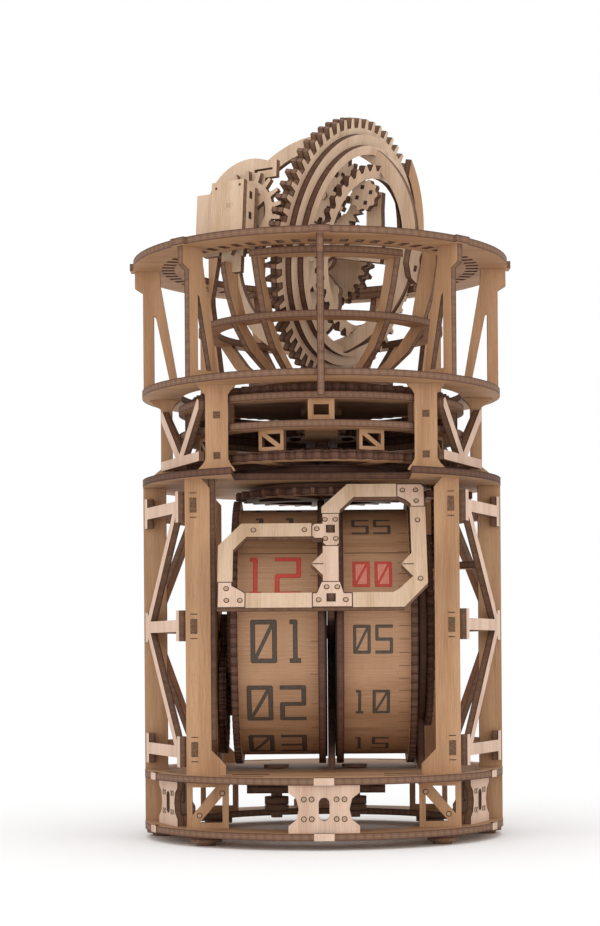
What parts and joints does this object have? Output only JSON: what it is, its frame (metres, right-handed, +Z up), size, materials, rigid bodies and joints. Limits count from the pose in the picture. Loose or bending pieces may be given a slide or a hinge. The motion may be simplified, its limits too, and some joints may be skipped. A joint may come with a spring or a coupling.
{
  "type": "wooden mechanical clock model",
  "caption": "Tall cylindrical plywood clock kit with hour and minute drums behind leaning windows, below a ringed gallery where a toothed cage tumbles in a turning basket.",
  "frame": {"origin": "centre of the feet's plane, under the vertical main arbor", "axes": "+Z up along the main arbor, -Y towards the front with the windows, +X to the viewer's right"},
  "size_m": [0.168, 0.168, 0.3132],
  "materials": {
    "birch_plywood": "matte",
    "pale_plywood": "matte",
    "charred_plywood": "matte"
  },
  "bodies": {
    "frame": {"feet": "charred_plywood", "base_ring": "birch_plywood", "base_brackets": "birch_plywood", "deck": "birch_plywood", "winder_bridge": "birch_plywood", "columns": "birch_plywood", "side_posts": "birch_plywood", "side_braces": "pale_plywood", "left_stiffener": "birch_plywood", "left_bearing_plate": "birch_plywood", "centre_bearing_plate": "birch_plywood", "right_bearing_plate": "birch_plywood", "hour_window": "pale_plywood", "minute_window": "pale_plywood", "window_joints": "pale_plywood", "train_plate": "birch_plywood", "transfer_bracket": "birch_plywood", "mid_columns": "birch_plywood", "mid_side_posts": "birch_plywood", "mid_braces": "pale_plywood", "lower_race": "birch_plywood", "upper_race": "birch_plywood", "race_tabs": "birch_plywood", "gallery_ring": "birch_plywood", "gallery_posts": "birch_plywood", "top_ring": "birch_plywood"},
    "minute_drum": {"minute_drum_face": "birch_plywood", "minute_drum_flanges": "charred_plywood", "drum_arbor": "charred_plywood", "minute_wheel": "charred_plywood", "motion_pinion": "charred_plywood"},
    "hour_drum": {"hour_drum_face": "birch_plywood", "hour_drum_flanges": "charred_plywood", "hour_wheel": "charred_plywood"},
    "motion_layshaft": {"motion_lay": "charred_plywood"},
    "transfer": {"transfer_arbor": "charred_plywood", "transfer_wheel": "charred_plywood"},
    "main_train": {"main_arbor": "charred_plywood", "drive_gear": "charred_plywood", "gear_discs": "charred_plywood", "setting_ring": "birch_plywood", "train_wheel": "charred_plywood"},
    "train_layshaft": {"train_lay": "charred_plywood"},
    "carriage": {"carriage_hub": "birch_plywood", "carriage_ribs": "birch_plywood", "middle_ring": "birch_plywood", "equator_arcs": "birch_plywood", "carriage_arms": "birch_plywood", "cage_bearings": "pale_plywood", "gearbox_cheeks": "pale_plywood"},
    "cage": {"cage_gear": "pale_plywood", "cage_band": "pale_plywood", "cage_bridge": "birch_plywood"},
    "gearbox": {"gearbox_pinion": "pale_plywood"},
    "escape": {"escape_wheel": "birch_plywood"},
    "anchor": {"anchor": "birch_plywood"},
    "balance": {"balance_wheel": "charred_plywood"},
    "left_winder": {"left_winder": "charred_plywood"},
    "right_winder": {"right_winder": "charred_plywood"}
  },
  "joints": [
    {"name": "carriage_turn", "type": "hinge", "parent": "frame", "child": "carriage", "pos_m": [0, 0, 0.1965], "axis": [0, 0, 1], "continuous": true},
    {"name": "minute_turn", "type": "hinge", "parent": "frame", "child": "minute_drum", "pos_m": [0, 0, 0.0895], "axis": [-1, 0, 0], "continuous": true},
    {"name": "hour_turn", "type": "hinge", "parent": "frame", "child": "hour_drum", "pos_m": [0, 0, 0.0895], "axis": [-1, 0, 0], "continuous": true},
    {"name": "motion_layshaft_turn", "type": "hinge", "parent": "frame", "child": "motion_layshaft", "pos_m": [0, 0, 0.0595], "axis": [-1, 0, 0], "continuous": true},
    {"name": "transfer_turn", "type": "hinge", "parent": "frame", "child": "transfer", "pos_m": [0.0504, 0, 0.117], "axis": [0, 0, 1], "continuous": true},
    {"name": "main_train_turn", "type": "hinge", "parent": "frame", "child": "main_train", "pos_m": [0, 0, 0.1478], "axis": [0, 0, 1], "continuous": true},
    {"name": "train_layshaft_turn", "type": "hinge", "parent": "frame", "child": "train_layshaft", "pos_m": [0, 0.03, 0.1656], "axis": [0, 0, 1], "continuous": true},
    {"name": "cage_turn", "type": "hinge", "parent": "carriage", "child": "cage", "pos_m": [0, 0, 0.26], "axis": [0.8295, -0.5183, -0.2079], "continuous": true},
    {"name": "gearbox_turn", "type": "hinge", "parent": "carriage", "child": "gearbox", "pos_m": [-0.03108, -0.04389, 0.26546], "axis": [-0.5125, -0.8544, 0.0853], "continuous": true},
    {"name": "escape_turn", "type": "hinge", "parent": "cage", "child": "escape", "pos_m": [0.00628, -0.00392, 0.28041], "axis": [-0.5299, -0.848, 0], "continuous": true},
    {"name": "anchor_rock", "type": "hinge", "parent": "cage", "child": "anchor", "pos_m": [0.00171, -0.00107, 0.25507], "axis": [-0.5299, -0.848, 0], "range_deg": [-3, 3]},
    {"name": "balance_swing", "type": "hinge", "parent": "cage", "child": "balance", "pos_m": [-0.00698, 0.00436, 0.23568], "axis": [-0.5299, -0.848, 0], "range_deg": [-135, 135]},
    {"name": "left_winder_turn", "type": "hinge", "parent": "frame", "child": "left_winder", "pos_m": [-0.021, 0, 0.0076], "axis": [0, 0, 1], "continuous": true},
    {"name": "right_winder_turn", "type": "hinge", "parent": "frame", "child": "right_winder", "pos_m": [0.0135, 0, 0.0076], "axis": [0, 0, 1], "continuous": true}
  ],
  "couplings": [
    {"joint": "minute_turn", "follows": "carriage_turn", "ratio": 0.046296},
    {"joint": "hour_turn", "follows": "carriage_turn", "ratio": 0.003858},
    {"joint": "motion_layshaft_turn", "follows": "carriage_turn", "ratio": -0.015432},
    {"joint": "transfer_turn", "follows": "carriage_turn", "ratio": -0.41667},
    {"joint": "main_train_turn", "follows": "carriage_turn", "ratio": 0.16667},
    {"joint": "train_layshaft_turn", "follows": "carriage_turn", "ratio": -0.5},
    {"joint": "gearbox_turn", "follows": "cage_turn", "ratio": -3.3333}
  ]
}
